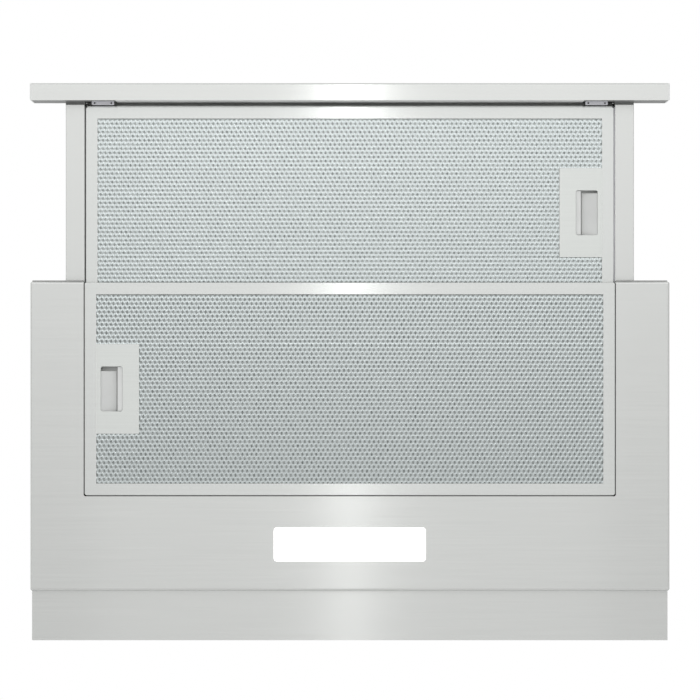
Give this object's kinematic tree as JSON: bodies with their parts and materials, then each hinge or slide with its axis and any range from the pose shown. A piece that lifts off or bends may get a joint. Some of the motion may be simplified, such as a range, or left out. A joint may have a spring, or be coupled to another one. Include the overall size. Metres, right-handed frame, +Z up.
{
  "type": "pull-out range hood",
  "caption": "Built-in range hood with a pull-out filter drawer, latched cassette grease filters, a lit lamp strip, push buttons, a blower and a round duct collar with non-return flaps.",
  "frame": {"origin": "centre of the four cabinet screw holes, on the flange plane that meets the cabinet", "axes": "+X along the width to the user's right, +Y back to the wall, +Z up; the drawer pulls out towards -Y"},
  "size_m": [0.598, 0.5218, 0.224],
  "materials": {
    "steel": "brushed along X, satin",
    "trim_steel": "brushed along X, satin",
    "zinc": "galvanised, matt",
    "fastener": "zinc plated",
    "filter_alu": "satin",
    "filter_mesh": "expanded sheet, bare",
    "filter_core": "expanded sheet, bare",
    "latch_grey": "satin",
    "latch_bolt": "matt light grey",
    "lens": "frosted white",
    "white_plastic": "matt white",
    "board": "white solder mask",
    "black_plastic": "matt black",
    "motor_metal": "bare pressed can",
    "cap_grey": "matt light grey",
    "grey_plastic": "matt dark grey",
    "clip_plastic": "matt pale grey",
    "buffer_foam": "matt dark foam",
    "button_metal": "satin metallic"
  },
  "bodies": {
    "hood_body": {"lower_casing": "steel", "rear_spacer": "steel", "flange_plate": "zinc", "housing_top": "zinc", "housing_front": "zinc", "housing_rear": "zinc", "housing_left": "zinc", "housing_right": "zinc", "guide_rail_left": "zinc", "guide_rail_right": "zinc", "spacer_brackets": "zinc", "motor_bracket": "zinc", "collar_screws": "fastener", "spacer_screws": "fastener", "main_latch_spring": "fastener", "main_filter_frame": "filter_alu", "main_filter_mesh": "filter_mesh", "main_filter_core": "filter_core", "main_latch_plate": "latch_grey", "lamp_lens": "lens", "lamp_housing": "white_plastic", "front_glides": "white_plastic", "led_board": "board", "outlet_collar": "black_plastic", "flap_seat": "black_plastic", "scroll_left": "black_plastic", "scroll_right": "black_plastic", "control_box": "black_plastic", "capacitor": "black_plastic", "cable_gland": "black_plastic", "motor": "motor_metal", "front_buffers": "buffer_foam"},
    "main_latch": {"main_latch_slider": "latch_bolt"},
    "drawer_latch": {"drawer_latch_slider": "latch_bolt"},
    "fan_wheel": {"impeller": "black_plastic", "motor_shaft": "fastener"},
    "flap_front": {"flap_front": "black_plastic"},
    "flap_rear": {"flap_rear": "black_plastic"},
    "roller_left": {"roller_left": "white_plastic"},
    "roller_right": {"roller_right": "white_plastic"},
    "button_low": {"button_low": "button_metal"},
    "button_medium": {"button_medium": "button_metal"},
    "button_high": {"button_high": "button_metal"},
    "button_light": {"button_light": "button_metal"},
    "drawer": {"front_trim": "trim_steel", "trim_end_caps": "cap_grey", "trim_back_cover": "grey_plastic", "trim_clips": "clip_plastic", "trim_brackets": "grey_plastic", "drawer_rail_left": "steel", "drawer_rail_right": "steel", "drawer_top": "zinc", "drawer_rear_bar": "zinc", "roller_axles": "fastener", "switch_block": "black_plastic", "drawer_filter_frame": "filter_alu", "drawer_filter_mesh": "filter_mesh", "drawer_filter_core": "filter_core", "drawer_latch_plate": "latch_grey", "drawer_latch_spring": "fastener"}
  },
  "joints": [
    {"name": "drawer_slide", "type": "slide", "parent": "hood_body", "child": "drawer", "axis": [0, 1, 0], "range_m": [0, 0.168]},
    {"name": "main_latch_slide", "type": "slide", "parent": "hood_body", "child": "main_latch", "axis": [1, 0, 0], "range_m": [0, 0.005], "stiffness_N_per_m": 400, "springref_m": -0.004, "deforming": ["main_latch_spring"]},
    {"name": "drawer_latch_slide", "type": "slide", "parent": "drawer", "child": "drawer_latch", "axis": [-1, 0, 0], "range_m": [0, 0.005], "stiffness_N_per_m": 400, "springref_m": -0.004, "deforming": ["drawer_latch_spring"]},
    {"name": "fan_spin", "type": "hinge", "parent": "hood_body", "child": "fan_wheel", "pos_m": [0, -0.02, 0.068], "axis": [1, 0, 0], "continuous": true},
    {"name": "flap_rear_swing", "type": "hinge", "parent": "hood_body", "child": "flap_rear", "pos_m": [0, 0.0334, 0.143], "axis": [1, 0, 0], "range_deg": [0, 80]},
    {"name": "flap_front_swing", "type": "hinge", "parent": "hood_body", "child": "flap_front", "pos_m": [0, 0.0194, 0.143], "axis": [-1, 0, 0], "range_deg": [0, 80]},
    {"name": "roller_left_spin", "type": "hinge", "parent": "drawer", "child": "roller_left", "pos_m": [-0.2732, -0.0459, -0.016], "axis": [1, 0, 0], "continuous": true},
    {"name": "roller_right_spin", "type": "hinge", "parent": "drawer", "child": "roller_right", "pos_m": [0.2732, -0.0459, -0.016], "axis": [1, 0, 0], "continuous": true},
    {"name": "button_low_press", "type": "slide", "parent": "drawer", "child": "button_low", "axis": [0, 1, 0], "range_m": [0, 0.0012], "stiffness_N_per_m": 500, "springref_m": -0.0015},
    {"name": "button_medium_press", "type": "slide", "parent": "drawer", "child": "button_medium", "axis": [0, 1, 0], "range_m": [0, 0.0012], "stiffness_N_per_m": 500, "springref_m": -0.0015},
    {"name": "button_high_press", "type": "slide", "parent": "drawer", "child": "button_high", "axis": [0, 1, 0], "range_m": [0, 0.0012], "stiffness_N_per_m": 500, "springref_m": -0.0015},
    {"name": "button_light_press", "type": "slide", "parent": "drawer", "child": "button_light", "axis": [0, 1, 0], "range_m": [0, 0.0012], "stiffness_N_per_m": 500, "springref_m": -0.0015}
  ],
  "couplings": [
    {"joint": "roller_left_spin", "follows": "drawer_slide", "rad_per_m": -166.67},
    {"joint": "roller_right_spin", "follows": "drawer_slide", "rad_per_m": -166.67}
  ]
}
